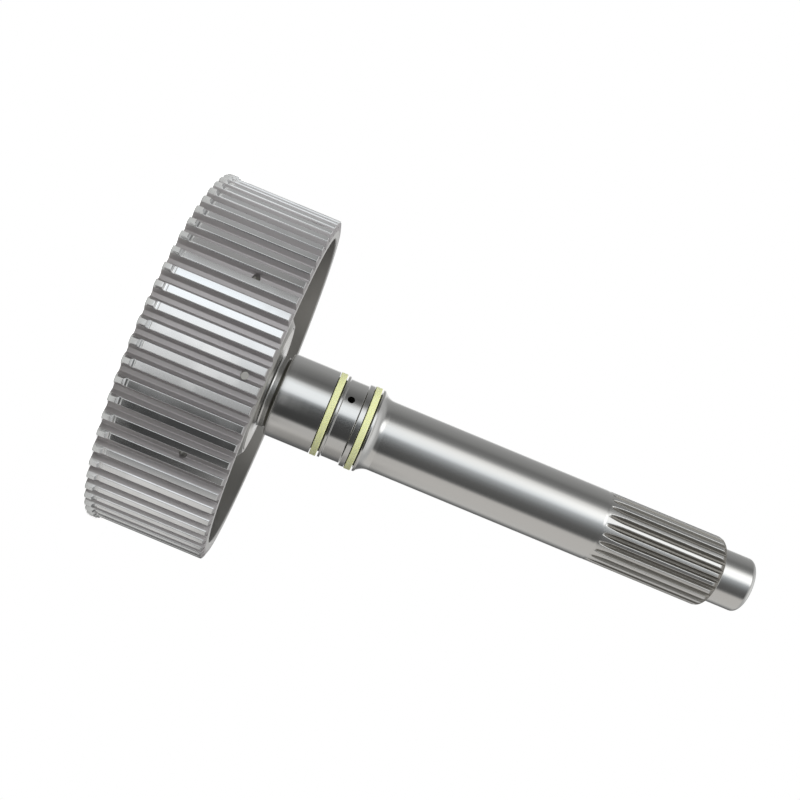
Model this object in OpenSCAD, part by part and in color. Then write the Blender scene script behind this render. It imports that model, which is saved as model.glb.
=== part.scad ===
/* [Clutch hub] */
// Diameter over the tooth lands
hub_od = 155; // [140:0.5:170]
// Length of the toothed drum from end to end
hub_len = 51; // [48:0.5:56]
// Number of teeth around the drum
hub_teeth = 64; // [48:8:72]
// Width of a tooth land
hub_land_w = 2.95; // [2.2:0.05:3.4]
// Height of the teeth above the valley floor
hub_tooth_h = 2.6; // [1.8:0.1:3.2]
// Slope of a tooth flank from its centre line
hub_flank_deg = 25; // [15:1:30]
// Fillet at the foot of each tooth
hub_tooth_fillet = 0.3; // [0.1:0.05:0.4]
// Height of the collar over the lands at the rear end
collar_rise = 0.9; // [0.4:0.1:1.4]
// Length of that collar
collar_len = 3.2; // [2:0.1:5]
// Length of the relief between the collar and the lands
collar_relief_len = 1.9; // [1.2:0.1:3]
// Depth of that relief under the lands
collar_relief_depth = 0.2; // [0.1:0.05:0.4]
// Length of the bevel on the front ends of the teeth
tooth_bevel_len = 0.8; // [0.4:0.1:2]
// Wall of the rim under the valleys
rim_wall = 4.9; // [3.5:0.1:6]
// Depth of the flange's seat under the front end
seat_depth = 8.5; // [7:0.5:10]
// Width of the flat ring around the flange
boss_w = 1.4; // [1:0.1:8]
// Depth of that ring under the flange's edge
boss_drop = 0.2; // [0.1:0.1:1]
// Thickness of the dished web
web_t = 5.5; // [4:0.1:7]
// Fillet between the web and the rim
web_fillet_r = 8; // [5:0.5:9]
// Depth of the centre of that fillet under the front end
web_fillet_depth = 17; // [15:0.5:19]
// Fillet behind the web
web_back_fillet_r = 5; // [3:0.5:6]
// Diameter of the oil holes between the teeth
hub_oil_d = 3.2; // [2:0.1:3.4]
// Depth of the upper row of oil holes under the front end
hub_oil_depth = 7.9; // [6:0.1:10]
// Distance between the two rows of oil holes
hub_oil_pitch = 10.6; // [8:0.1:12]

/* [Flange and neck] */
// Thickness of the flange at its edge, over the lip
flange_t = 6.3; // [5:0.1:8]
// Width of the flange outside the stub behind it
flange_w = 6.5; // [4:0.1:9]
// Width of the lip that the hub rests on
flange_lip_w = 2.4; // [1.5:0.1:4]
// Thickness of that lip
flange_lip_t = 3; // [2:0.1:4]
// Rise of the flange's coned face from its edge to the fillet of the neck
flange_cone_h = 0.5; // [0.1:0.1:2]
// Bevel along the joint of flange and hub
seam_bevel = 0.45; // [0.2:0.05:0.8]
// Side clearance between the flange and the hub
hub_seat_gap = 0.02; // [0.01:0.01:0.05]
// Clearance between the flange's lip and the hub around it
hub_lip_gap = 0.3; // [0.1:0.05:0.6]
// Radius of the fillet between the flange and the neck
neck_fillet_r = 1.1; // [0.5:0.1:2]
// Length of the neck between that fillet and the undercut
neck_len = 1.9; // [1:0.1:4]
// Step from the neck up to the journal
neck_step = 2.8; // [1:0.1:3.5]
// Depth of the undercut beside the journal
undercut_depth = 0.6; // [0.2:0.1:1]
// Width of that undercut
undercut_w = 1.3; // [0.8:0.1:2]

/* [Journal and sealing rings] */
// Length of the ground journal
journal_len = 21.05; // [18:0.05:24]
// Step from the main shaft up to the journal
journal_step = 3; // [2:0.1:4]
// Bevel at the start of the journal
journal_bevel = 0.4; // [0.2:0.05:0.8]
// Distance between the two ring grooves
ring_pitch = 16; // [13:0.1:20]
// Width of a ring groove
groove_w = 3.9; // [3.2:0.05:4.4]
// Depth of a ring groove under the journal
groove_depth = 2.4; // [1.8:0.1:2.8]
// Height that a sealing ring stands over the journal
ring_proud = 0.15; // [0:0.05:0.3]
// Clearance between a sealing ring and the floor of its groove
ring_floor_gap = 0.2; // [0.1:0.05:0.4]
// Clearance between a sealing ring and the rear side of its groove
ring_side_gap = 0.35; // [0.05:0.05:0.5]
// Clearance between a sealing ring and the front side of its groove
ring_front_gap = 0.7; // [0.1:0.05:0.8]
// Rounding of a sealing ring's outer edges
ring_soft = 0.15; // [0.05:0.05:0.3]
// Width of the slanted cut through a sealing ring
ring_cut_w = 0.4; // [0.2:0.05:0.8]
// Slant of that cut from the shaft's axis
ring_cut_deg = 50; // [30:5:60]

/* [Oil recess] */
// Depth of the narrow lands beside the rings under the journal
ring_land_drop = 0.1; // [0.05:0.05:0.5]
// Width of the lands in front of the grooves
ring_land_w = 1; // [0.6:0.1:1.5]
// Width of the land behind the front ring
wide_land_w = 2.15; // [1.5:0.05:4]
// Depth of the recess under the journal
recess_depth = 1; // [0.6:0.1:1.8]
// Width of the slopes at both ends of the recess
recess_slope_w = 0.45; // [0.1:0.05:0.6]
// Diameter of the oil hole in the recess
recess_oil_d = 3.2; // [2:0.1:4]
// Distance of the oil hole from the rear end of the recess
recess_oil_back = 3.45; // [2.4:0.05:4]

/* [Main shaft] */
// Diameter of the main shaft
shaft_d = 31.6; // [28:0.1:36]
// Radius of the long fillet at its rear end
shaft_fillet_r = 6.5; // [5:0.5:9]
// Length from the rear end to the front end of the pilot
total_len = 269.5; // [240:0.5:300]

/* [Front spline] */
// Number of spline teeth
spline_teeth = 24; // [20:1:26]
// Drop from the main shaft to the crests of the spline
spline_drop = 0.1; // [0.05:0.05:0.5]
// Length of the slope between the two
spline_drop_len = 1; // [0.5:0.5:3]
// Depth of the spline valleys
spline_depth = 1.4; // [1:0.05:1.6]
// Width of a valley floor
spline_floor_w = 0.9; // [0.6:0.05:1.1]
// Height of the bevel beside a valley floor
spline_foot_h = 0.15; // [0.05:0.05:0.3]
// Slope of a valley flank from its centre line
spline_flank_deg = 30; // [25:1:32]
// Length of the spline from the tips of its run-outs to its shoulder
spline_len = 50; // [40:0.5:60]
// Radius of the cutter that leaves the run-outs
cutter_r = 27; // [18:0.5:35]
// Length of the rounded shoulder at the front of the spline
shoulder_len = 3.4; // [2.8:0.1:4]

/* [Pilot] */
// Step from the valley floors down to the smooth pilot
pilot_step = 2.2; // [1:0.1:3]
// Length of the pilot from the spline's shoulder to its end
pilot_len = 15.1; // [12:0.1:18]
// Radius of the pilot's rounded end
pilot_round_r = 2.6; // [1:0.1:4]
// Diameter of the lathe centre in the pilot's end
centre_d = 7; // [5:0.5:9]

/* [Rear stub] */
// Height of the stub's end over the rear end of the hub
stub_z = 10; // [6:0.5:14]
// Wall of the stub around its bore
stub_wall = 6.5; // [5:0.1:8]
// Bevel at the end and at the foot of the stub
stub_bevel = 1; // [0.5:0.1:1.5]
// Diameter of the bore that holds the bushing
bushing_seat_d = 30; // [26:0.5:34]
// Wall of the bushing
bushing_wall = 2; // [1.5:0.1:3]
// Length of the bushing
bushing_len = 16; // [12:0.5:18]
// Set-back of the bushing from the stub's end
bushing_inset = 0.8; // [0.3:0.1:1.5]
// Distance between the bushing and the floor of its bore
bushing_end_gap = 2.2; // [1:0.1:4]
// Diameter of the oil gallery
gallery_d = 10; // [8:0.5:11]
// Length of the gallery past the oil hole in the recess
gallery_past = 5; // [3:0.5:8]
// Step from the gallery out to the wall of the cup plug
plug_step = 1.5; // [1:0.1:2.5]
// Length of the cup plug that closes the gallery
plug_len = 4; // [3:0.5:5]
// Set-back of the plug from the floor of the bushing's bore
plug_inset = 0.5; // [0.2:0.1:1]
// Wall of the cup plug
plug_wall = 1; // [0.8:0.1:1.5]
// Diameter of the clutch feed holes in the stub
feed_d = 3.2; // [2:0.1:4]

/* [Hidden] */
$fn = 96;

steel_shaft = [0.62, 0.62, 0.63];
steel_hub = [0.60, 0.59, 0.58];
ring_yellow = [0.86, 0.87, 0.58];
bronze = [0.72, 0.54, 0.32];
plug_zinc = [0.70, 0.71, 0.72];

eps = 0.01;
over = 2;
edge = 0.4;

// Angles are measured from +X, and the side shown in the picture faces -Y.
front_deg = -90;
tooth_pitch_deg = 360 / hub_teeth;
valley_deg = front_deg - 1.16;
first_tooth_deg = valley_deg + tooth_pitch_deg / 2;
recess_oil_deg = front_deg - 31;

// The oil holes lie in groups of three, these numbers of valleys after the first of their group.
oil_group_teeth = 16;
oil_offsets = [0, 5, 10];
oil_count = len(oil_offsets) * floor(hub_teeth / oil_group_teeth);

// Radii grow outwards from the bushing to the stub, the flange and the hub.
stub_r = bushing_seat_d / 2 + stub_wall;
flange_r = stub_r + flange_w;
flange_lip_r = flange_r + flange_lip_w;
boss_r = flange_r + boss_w;
hub_r = hub_od / 2;
hub_root_r = hub_r - hub_tooth_h;
collar_r = hub_r + collar_rise;
rim_r = hub_root_r - rim_wall;

// The journal, the grooves, the spline and the pilot follow the main shaft's radius.
shaft_r = shaft_d / 2;
journal_r = shaft_r + journal_step;
neck_r = journal_r - neck_step;
ring_land_r = journal_r - ring_land_drop;
recess_r = journal_r - recess_depth;
groove_r = journal_r - groove_depth;
spline_r = shaft_r - spline_drop;
spline_root_r = spline_r - spline_depth;
pilot_r = spline_root_r - pilot_step;
gallery_r = gallery_d / 2;
plug_r = gallery_r + plug_step;

// Heights follow from the hub's front end upwards, and from its rear end inside the stub.
flange_seat_z = hub_len - seat_depth;
flange_edge_z = flange_seat_z + flange_t;
flange_back_z = flange_seat_z - flange_lip_t;
neck_z = flange_edge_z + flange_cone_h + neck_fillet_r;
undercut_z = neck_z + neck_len;
journal_z = undercut_z + undercut_w;
ring_rear_z = journal_z + journal_len;
ring_front_z = ring_rear_z + ring_pitch;
ring_w = groove_w - ring_side_gap - ring_front_gap;
recess_start_z = ring_rear_z + groove_w + ring_land_w;
recess_end_z = ring_front_z - wide_land_w;
recess_oil_z = recess_start_z + recess_oil_back;
taper_z = ring_front_z + groove_w + ring_land_w;
bore_floor_z = stub_z + bushing_inset + bushing_len + bushing_end_gap;
gallery_end_z = recess_oil_z + gallery_past;

// The pilot's length and the spline's length set the heights at the front end.
shoulder_z = total_len - pilot_len - shoulder_len;
spline_start_z = shoulder_z - spline_len;
runout_len = sqrt(2 * cutter_r * spline_depth - spline_depth * spline_depth);
spline_full_z = spline_start_z + runout_len;

// Points along an oval about c from angle a0 to a1, and along an arc, for turned sections.
function oval(c, rx, ry, a0, a1, n) =
    [for (i = [0:n]) [c[0] + rx * cos(a0 + (a1 - a0) * i / n), c[1] + ry * sin(a0 + (a1 - a0) * i / n)]];
function arc(c, r, a0, a1, n) = oval(c, r, r, a0, a1, n);

// The web's front cone runs from the boss to a tangent point on the fillet, and its back is parallel.
boss_z = flange_edge_z - boss_drop;
web_fillet_c = [rim_r - web_fillet_r, hub_len - web_fillet_depth];
web_run = web_fillet_c - [boss_r, boss_z];
web_deg = asin(web_fillet_r / norm(web_run)) - atan2(web_run[1], web_run[0]);
web_in = [sin(web_deg), cos(web_deg)];
web_foot = web_fillet_c - web_fillet_r * web_in;
web_back = web_foot - web_t * web_in;
// Round the flange's lip the hub is bored out, down to the web's back.
hub_lip_r = flange_lip_r + hub_lip_gap;
hub_lip_z = min(web_back[1] + (web_back[0] - hub_lip_r) * tan(web_deg), flange_seat_z - edge);

// The fillet behind the web touches the back cone and the rim's inner wall.
back_fillet_r = rim_r - web_back_fillet_r;
back_foot_r = back_fillet_r + web_back_fillet_r * sin(web_deg);
back_foot_z = web_back[1] - (back_foot_r - web_back[0]) * tan(web_deg);
back_fillet_z = back_foot_z - web_back_fillet_r * cos(web_deg);

// Outline of the drum across its axis: straight-flanked teeth with filleted feet.
module tooth_outline() {
    outer_r = collar_r + over;
    foot_r = hub_root_r + hub_tooth_fillet;
    outer_half = hub_land_w / 2 - (outer_r - hub_r) * tan(hub_flank_deg);
    foot_half = hub_land_w / 2 + (hub_r - foot_r) * tan(hub_flank_deg);
    root_half = foot_half + hub_tooth_fillet;
    tooth = [[hub_root_r, -root_half], [foot_r, -foot_half], [outer_r, -outer_half],
             [outer_r, outer_half], [foot_r, foot_half], [hub_root_r, root_half]];
    polygon([for (i = [0:hub_teeth - 1]) for (p = tooth)
        let (a = first_tooth_deg + i * tooth_pitch_deg)
        [p[0] * cos(a) - p[1] * sin(a), p[0] * sin(a) + p[1] * cos(a)]]);
}

// Turned section of the drum: rim, relief, collar, dished web and the seat for the flange.
module hub_section() {
    relief_z = collar_len + collar_relief_len;
    relief_r = hub_r - collar_relief_depth;
    ramp = collar_relief_len / 2;
    polygon(concat(
        [[rim_r + edge, 0], [collar_r - edge, 0], [collar_r, edge]],
        [[collar_r, collar_len - edge / 2], [collar_r - edge / 2, collar_len]],
        arc([relief_r + ramp, collar_len + ramp], ramp, 210, 180, 4),
        [[relief_r, relief_z - collar_relief_depth], [hub_r, relief_z]],
        [[hub_r, hub_len - tooth_bevel_len], [hub_root_r, hub_len]],
        [[rim_r + edge, hub_len], [rim_r, hub_len - edge]],
        arc(web_fillet_c, web_fillet_r, 0, -90 - web_deg, 8),
        [[boss_r + edge, boss_z - edge * tan(web_deg)], [boss_r - edge, boss_z]],
        [[flange_r + seam_bevel, boss_z], [flange_r + hub_seat_gap, boss_z - seam_bevel]],
        [[flange_r + hub_seat_gap, flange_seat_z], [hub_lip_r, flange_seat_z], [hub_lip_r, hub_lip_z]],
        arc([back_fillet_r, back_fillet_z], web_back_fillet_r, 90 - web_deg, 0, 6),
        [[rim_r, edge]]
    ));
}

// The valley that oil hole number k opens into, counted from the one that faces the front.
function oil_valley(k) =
    floor(k / len(oil_offsets)) * oil_group_teeth + oil_offsets[k % len(oil_offsets)] - oil_offsets[1];

module clutch_hub() {
    oil_top_z = hub_len - hub_oil_depth;
    color(steel_hub)
    difference() {
        intersection() {
            linear_extrude(hub_len) tooth_outline();
            rotate_extrude() hub_section();
        }
        for (k = [0:oil_count - 1])
            rotate([0, 0, valley_deg + oil_valley(k) * tooth_pitch_deg])
                translate([rim_r - web_fillet_r / 2, 0, oil_top_z - (k % 2 == 0 ? hub_oil_pitch : 0)])
                    rotate([0, 90, 0])
                        cylinder(d = hub_oil_d, h = web_fillet_r / 2 + rim_wall + hub_tooth_h + over);
    }
}

// Turned section of the shaft from the axis outwards, with its ring grooves.
module shaft_section() {
    undercut_r = neck_r - undercut_depth;
    land_round = ring_land_w / 3;
    taper_rise = ring_land_r - shaft_r;
    taper_len = sqrt(shaft_fillet_r * shaft_fillet_r - pow(shaft_fillet_r - taper_rise, 2));
    shoulder_end_z = shoulder_z + shoulder_len;
    shoulder_c = [pilot_r + edge, shoulder_z];
    polygon(concat(
        [[0, stub_z], [stub_r - stub_bevel, stub_z], [stub_r, stub_z + stub_bevel]],
        [[stub_r, flange_back_z - stub_bevel], [stub_r + stub_bevel, flange_back_z]],
        [[flange_lip_r - edge, flange_back_z]],
        [[flange_lip_r, flange_back_z + edge], [flange_lip_r, flange_seat_z]],
        [[flange_r, flange_seat_z], [flange_r, flange_edge_z - seam_bevel]],
        [[flange_r - seam_bevel, flange_edge_z]],
        arc([neck_r + neck_fillet_r, neck_z], neck_fillet_r, 270, 180, 6),
        [[neck_r, undercut_z], [undercut_r, undercut_z], [undercut_r, journal_z]],
        [[journal_r - journal_bevel, journal_z], [journal_r, journal_z + journal_bevel]],
        [[journal_r, ring_rear_z], [groove_r, ring_rear_z], [groove_r, ring_rear_z + groove_w]],
        [[ring_land_r, ring_rear_z + groove_w], [ring_land_r, recess_start_z]],
        [[recess_r, recess_start_z + recess_slope_w], [recess_r, recess_end_z - recess_slope_w]],
        [[ring_land_r, recess_end_z]],
        [[ring_land_r, ring_front_z], [groove_r, ring_front_z], [groove_r, ring_front_z + groove_w]],
        [[ring_land_r, ring_front_z + groove_w], [ring_land_r, taper_z - land_round]],
        arc([shaft_r + shaft_fillet_r, taper_z + taper_len], shaft_fillet_r,
            180 + asin(taper_len / shaft_fillet_r), 180, 9),
        [[shaft_r, spline_start_z - 1.5 * spline_drop_len], [spline_r, spline_start_z - spline_drop_len / 2]],
        oval(shoulder_c, spline_r - shoulder_c[0], shoulder_len, 0, 90, 8),
        [[pilot_r, shoulder_end_z + edge]],
        arc([pilot_r - pilot_round_r, total_len - pilot_round_r], pilot_round_r, 0, 90, 7),
        [[0, total_len]]
    ));
}

// One spline valley: the straight cut, and the disc of the cutter where it leaves the shaft.
module spline_valley() {
    top = spline_depth + edge;
    floor_half = spline_floor_w / 2;
    foot_half = floor_half + spline_foot_h;
    top_half = foot_half + (top - spline_foot_h) * tan(spline_flank_deg);
    translate([spline_root_r, 0, spline_full_z])
        linear_extrude(total_len - spline_full_z)
            polygon([[0, -floor_half], [spline_foot_h, -foot_half], [top, -top_half],
                     [top, top_half], [spline_foot_h, foot_half], [0, floor_half]]);
    translate([spline_root_r + cutter_r, 0, spline_full_z])
        rotate([90, 0, 0])
            rotate_extrude($fn = 180)
                polygon([[cutter_r - top, -top_half], [cutter_r - spline_foot_h, -foot_half],
                         [cutter_r, -floor_half], [cutter_r, floor_half],
                         [cutter_r - spline_foot_h, foot_half], [cutter_r - top, top_half]]);
}

// Everything that is bored and drilled into the stub and the recess.
module shaft_bores() {
    bushing_bore_len = bore_floor_z - stub_z;
    for (side = [0, 180]) {
        rotate([0, 0, recess_oil_deg + side])
            translate([0, 0, recess_oil_z]) rotate([0, 90, 0]) cylinder(d = recess_oil_d, h = journal_r + over);
        rotate([0, 0, side])
            translate([0, 0, flange_back_z - feed_d]) rotate([0, 90, 0]) cylinder(d = feed_d, h = stub_r + over);
    }
    translate([0, 0, stub_z - eps]) cylinder(d = bushing_seat_d, h = bushing_bore_len + eps);
    translate([0, 0, stub_z - eps])
        cylinder(d1 = bushing_seat_d + 2 * edge, d2 = bushing_seat_d, h = edge);
    translate([0, 0, bore_floor_z - eps]) cylinder(r = plug_r, h = plug_inset + plug_len + eps);
    translate([0, 0, bore_floor_z]) cylinder(r = gallery_r, h = gallery_end_z - bore_floor_z);
}

// The centre drill in the pilot's end: a narrow pilot hole and a cone.
module lathe_centre() {
    cone_len = centre_d * 0.6;
    drill_d = centre_d * 0.3;
    translate([0, 0, total_len - cone_len]) cylinder(d1 = drill_d, d2 = centre_d, h = cone_len + eps);
    translate([0, 0, total_len - centre_d]) cylinder(d = drill_d, h = centre_d);
}

module turbine_shaft() {
    color(steel_shaft)
    difference() {
        rotate_extrude() shaft_section();
        for (i = [0:spline_teeth - 1])
            rotate([0, 0, front_deg + (i + 0.5) * 360 / spline_teeth]) spline_valley();
        shaft_bores();
        lathe_centre();
    }
}

// A sealing ring in the groove that starts at z, with a slanted cut on the far side.
module sealing_ring(z) {
    outer_r = journal_r + ring_proud;
    inner_r = groove_r + ring_floor_gap;
    low = z + ring_side_gap;
    high = low + ring_w;
    color(ring_yellow)
    difference() {
        rotate_extrude()
            polygon([[inner_r, low], [outer_r - ring_soft, low], [outer_r, low + ring_soft],
                     [outer_r, high - ring_soft], [outer_r - ring_soft, high], [inner_r, high]]);
        rotate([0, 0, front_deg + 180])
            translate([(inner_r + outer_r) / 2, 0, (low + high) / 2])
                rotate([ring_cut_deg, 0, 0])
                    cube([2 * (outer_r - inner_r), ring_cut_w, 4 * ring_w], center = true);
    }
}

module rear_sealing_ring() {
    sealing_ring(ring_rear_z);
}

module front_sealing_ring() {
    sealing_ring(ring_front_z);
}

module rear_bushing() {
    bore_d = bushing_seat_d - 2 * bushing_wall;
    color(bronze)
    translate([0, 0, stub_z + bushing_inset])
    difference() {
        cylinder(d = bushing_seat_d, h = bushing_len);
        translate([0, 0, -eps]) cylinder(d = bore_d, h = bushing_len + 2 * eps);
        translate([0, 0, -eps]) cylinder(d1 = bore_d + 2 * edge, d2 = bore_d, h = edge);
        translate([0, 0, bushing_len - edge + eps]) cylinder(d1 = bore_d, d2 = bore_d + 2 * edge, h = edge);
    }
}

module gallery_plug() {
    color(plug_zinc)
    translate([0, 0, bore_floor_z + plug_inset])
    difference() {
        cylinder(r = plug_r, h = plug_len);
        translate([0, 0, -eps]) cylinder(r = plug_r - plug_wall, h = plug_len - plug_wall + eps);
    }
}

turbine_shaft();
clutch_hub();
rear_sealing_ring();
front_sealing_ring();
rear_bushing();
gallery_plug();
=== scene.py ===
# %% [markdown]
# # The turbine shaft of an automatic transmission
# This shaft takes the engine's turning from the torque converter into the gearbox. A steel drum with 64 straight
# teeth is welded to its lower end and carries clutch plates, two polymer rings seal the oil that passes through
# it, and the spline at its upper end fits into the converter's turbine.
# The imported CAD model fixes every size. This script builds finer surfaces over it, gives each its finish, and
# sets up the light and the camera.

# %% Start
import math

import bpy
import numpy as np
from mathutils import Matrix


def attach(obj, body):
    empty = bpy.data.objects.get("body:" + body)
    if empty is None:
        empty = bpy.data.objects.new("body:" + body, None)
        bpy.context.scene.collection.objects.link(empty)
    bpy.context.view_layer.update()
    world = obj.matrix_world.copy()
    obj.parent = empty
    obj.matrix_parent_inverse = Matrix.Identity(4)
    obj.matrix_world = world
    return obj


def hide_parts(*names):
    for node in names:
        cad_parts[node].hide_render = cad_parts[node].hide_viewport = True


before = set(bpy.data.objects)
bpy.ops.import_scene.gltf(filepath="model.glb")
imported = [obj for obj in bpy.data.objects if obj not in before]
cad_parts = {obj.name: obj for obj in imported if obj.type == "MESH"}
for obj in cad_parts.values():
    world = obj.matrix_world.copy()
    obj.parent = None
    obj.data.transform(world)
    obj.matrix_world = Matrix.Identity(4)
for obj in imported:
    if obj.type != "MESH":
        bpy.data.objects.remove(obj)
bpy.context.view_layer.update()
MM = 0.001

# %% [markdown]
# ## The camera
# The shaft stands on the drum's end, while the photograph shows it lying slantwise. Both are the same view if
# the camera looks level at the shaft and is rolled, so that the shaft's axis points to the right and down. The
# place, the roll and the focal length come from a fit to the outlines and the tooth edges of the photograph.

# %% Camera
PHOTO_SIZE = 800
FOCAL_PX = 1134.6
OPTICAL_AXIS_PX = (335.5, 412.9)
CAMERA_ROLL = math.radians(22.54)
CAMERA_PLACE = (-1.6 * MM, -487.67 * MM, 78.95 * MM)


def photo_camera():
    """Makes the rolled camera. Its axes are columns: right, up and backwards, and its shift moves the optical axis from the middle of the picture to where the photograph has it."""
    data = bpy.data.cameras.new("photo_camera")
    data.sensor_width = 36
    data.lens = FOCAL_PX * data.sensor_width / PHOTO_SIZE
    data.shift_x = 0.5 - OPTICAL_AXIS_PX[0] / PHOTO_SIZE
    data.shift_y = OPTICAL_AXIS_PX[1] / PHOTO_SIZE - 0.5
    s, c = math.sin(CAMERA_ROLL), math.cos(CAMERA_ROLL)
    camera = bpy.data.objects.new("photo_camera", data)
    camera.matrix_world = Matrix(
        (
            (-s, -c, 0, CAMERA_PLACE[0]),
            (0, 0, -1, CAMERA_PLACE[1]),
            (c, -s, 0, CAMERA_PLACE[2]),
            (0, 0, 0, 1),
        )
    )
    bpy.context.scene.collection.objects.link(camera)
    bpy.context.scene.camera = camera
    return data


lens = photo_camera()
print(f"lens {lens.lens:.2f} mm, shift {lens.shift_x:.4f} {lens.shift_y:.4f}")

# %% [markdown]
# ## Surfaces as stacks of rings
# Almost every surface here is turned: a profile carried round the Z axis. The drum's teeth and the spline are
# not round, but they too are closed rings of points, stacked one on another. So one function is enough for all
# of them: it takes rings, each an array of points, and joins neighbours with faces. Where a ring has a whole
# number of times the points of the next one, the faces between them simply get more corners, which lets a
# finely toothed part turn into a plain one without an open seam.


# %% Rings to a mesh
def ring_points(radius, height, angle):
    """Points at (radius cos angle, radius sin angle, height), for arrays that broadcast together."""
    radius, height, angle = np.broadcast_arrays(radius, height, angle)
    return np.stack(
        [radius * np.cos(angle), radius * np.sin(angle), height], axis=-1
    )


def even_angles(count):
    """count angles round the circle, starting at 0."""
    return np.arange(count) * 2 * np.pi / count


def turned_rings(profile, count):
    """One ring of count points for each (radius, height) of a turned profile."""
    return [ring_points(r, z, even_angles(count)) for r, z in profile]


def joined_rings(rings, closed=False):
    """Joins each ring to the next: face i takes points k i to k i + k of the finer ring and points i and i + 1 of the coarser one. A ring of one point is a pole, and a closed stack also joins its last ring to its first. Returns all points and a list of faces."""
    starts = np.cumsum([0] + [len(r) for r in rings])
    faces = []
    for j in range(len(rings) if closed else len(rings) - 1):
        after = (j + 1) % len(rings)
        n, m = len(rings[j]), len(rings[after])
        fine, coarse = max(n, m), min(n, m)
        steps = fine // coarse if coarse > 1 else 1
        count = coarse if coarse > 1 else fine
        i = np.arange(count)[:, None]
        fine_ids = (i * steps + np.arange(steps + 1)) % fine
        coarse_ids = np.concatenate([i + 1, i], axis=1) % coarse
        if coarse == 1:
            coarse_ids = coarse_ids[:, :1]
        if n >= m:
            ids = np.concatenate(
                [fine_ids + starts[j], coarse_ids + starts[after]], axis=1
            )
        else:
            ids = np.concatenate(
                [fine_ids + starts[after], coarse_ids + starts[j]], axis=1
            )[:, ::-1]
        faces += ids.tolist()
    return np.concatenate(rings), faces


def enclosed_volume(mesh):
    """Volume inside a closed mesh: the sum over its triangles of the triple product of their corners, divided by 6."""
    mesh.calc_loop_triangles()
    co = np.zeros(len(mesh.vertices) * 3)
    mesh.vertices.foreach_get("co", co)
    ids = np.zeros(len(mesh.loop_triangles) * 3, int)
    mesh.loop_triangles.foreach_get("vertices", ids)
    a, b, c = co.reshape(-1, 3)[ids].reshape(-1, 3, 3).transpose(1, 0, 2)
    return float(np.einsum("ij,ij->i", a, np.cross(b, c)).sum() / 6)


def new_mesh(name, points, faces):
    """A mesh from points in millimetres, with its faces turned outwards."""
    mesh = bpy.data.meshes.new(name)
    mesh.from_pydata((np.asarray(points) * MM).tolist(), [], faces)
    if enclosed_volume(mesh) < 0:
        mesh.flip_normals()
    mesh.validate()
    return mesh


def finished(mesh, name, material, body, nodes, sharp_deg):
    """Makes the mesh a piece: smooth up to sharp_deg between faces, with its material, riding on its body in place of the CAD nodes."""
    mesh.shade_smooth()
    mesh.set_sharp_from_angle(angle=math.radians(sharp_deg))
    piece = bpy.data.objects.new(name, mesh)
    bpy.context.scene.collection.objects.link(piece)
    mesh.materials.clear()
    mesh.materials.append(material)
    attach(piece, body)
    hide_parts(*nodes)
    mesh.calc_loop_triangles()
    print(f"{name}: {len(mesh.loop_triangles)} triangles, {enclosed_volume(mesh) / MM**3:.0f} mm3")
    return piece


# %% [markdown]
# ## Rounded corners on a profile
# No machined edge is perfectly sharp: the tool leaves a small radius or the edge is broken by hand, and that is
# what catches the light. So profiles are written with sharp corners and a radius for each, and one function
# turns every corner into an arc. An arc of radius r that touches both lines at a corner begins r tan(turn / 2)
# before it, where turn is the angle by which the path changes direction there.
# Smooth shading blends the directions of neighbouring faces right across them, so a long straight face beside an
# arc would look bent, and a mirror shows that at once. A point close to the arc on either side keeps it straight.


# %% Rounded profiles
SUPPORT_GAP = 0.04


def rounded(corners, steps=5):
    """Points of an open path through corners (radius, height, rounding). At each inner corner an arc touches both lines: it starts rounding tan(turn / 2) before the corner, kept under half of either line."""
    path = np.array([c[:2] for c in corners], float)
    out = [path[:1]]
    for i in range(1, len(path) - 1):
        r = corners[i][2] if len(corners[i]) > 2 else 0
        into, away = path[i] - path[i - 1], path[i + 1] - path[i]
        a, b = np.hypot(*into), np.hypot(*away)
        u, v = into / a, away / b
        turn = math.acos(max(-1.0, min(1.0, float(u @ v))))
        cut = min(r * math.tan(turn / 2), 0.49 * a, 0.49 * b)
        if cut < 1e-4:
            out.append(path[i : i + 1])
            continue
        t = np.linspace(0, 1, steps)[:, None]
        angle_a, angle_b = np.sin((1 - t) * turn), np.sin(t * turn)
        bisector = (v - u) / np.hypot(*(v - u))
        centre = path[i] + bisector * cut / math.sin(turn / 2)
        first, last = path[i] - u * cut - centre, path[i] + v * cut - centre
        out.append(centre + (first * angle_a + last * angle_b) / math.sin(turn))
    out.append(path[-1:])
    return supported(np.concatenate(out))


def supported(path):
    """Adds a point beside each end of a line that meets a much shorter one. Places along the path are sums of its lengths, and points are read off between them."""
    length = np.hypot(*np.diff(path, axis=0).T)
    place = np.concatenate([[0], np.cumsum(length)])
    before, after = np.append(np.inf, length[:-1]), np.append(length[1:], np.inf)
    starts, ends = length > 2.5 * before, length > 2.5 * after
    extra = [
        (place[:-1] + np.minimum(SUPPORT_GAP, before / 2))[starts],
        (place[1:] - np.minimum(SUPPORT_GAP, after / 2))[ends],
    ]
    at = np.sort(np.concatenate([place, *extra]))
    return np.stack([np.interp(at, place, path[:, i]) for i in (0, 1)], axis=1)


def arc(centre, radius, start_deg, end_deg, steps):
    """Points centre + radius (cos a, sin a) for steps even angles a from start_deg to end_deg."""
    a = np.radians(np.linspace(start_deg, end_deg, steps))
    return np.stack(
        [centre[0] + radius * np.cos(a), centre[1] + radius * np.sin(a)], axis=1
    )


def with_rounding(points, rounding=0.0):
    """A list of (radius, height, rounding) from an array of points."""
    return [(p[0], p[1], rounding) for p in points]


# %% [markdown]
# ## Colours and nodes
# Colours are written as the hex values that a paint program shows. Blender's shaders count in linear light, so
# one function converts them. Another adds a node with its settings and its links, and every material uses it.


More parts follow.
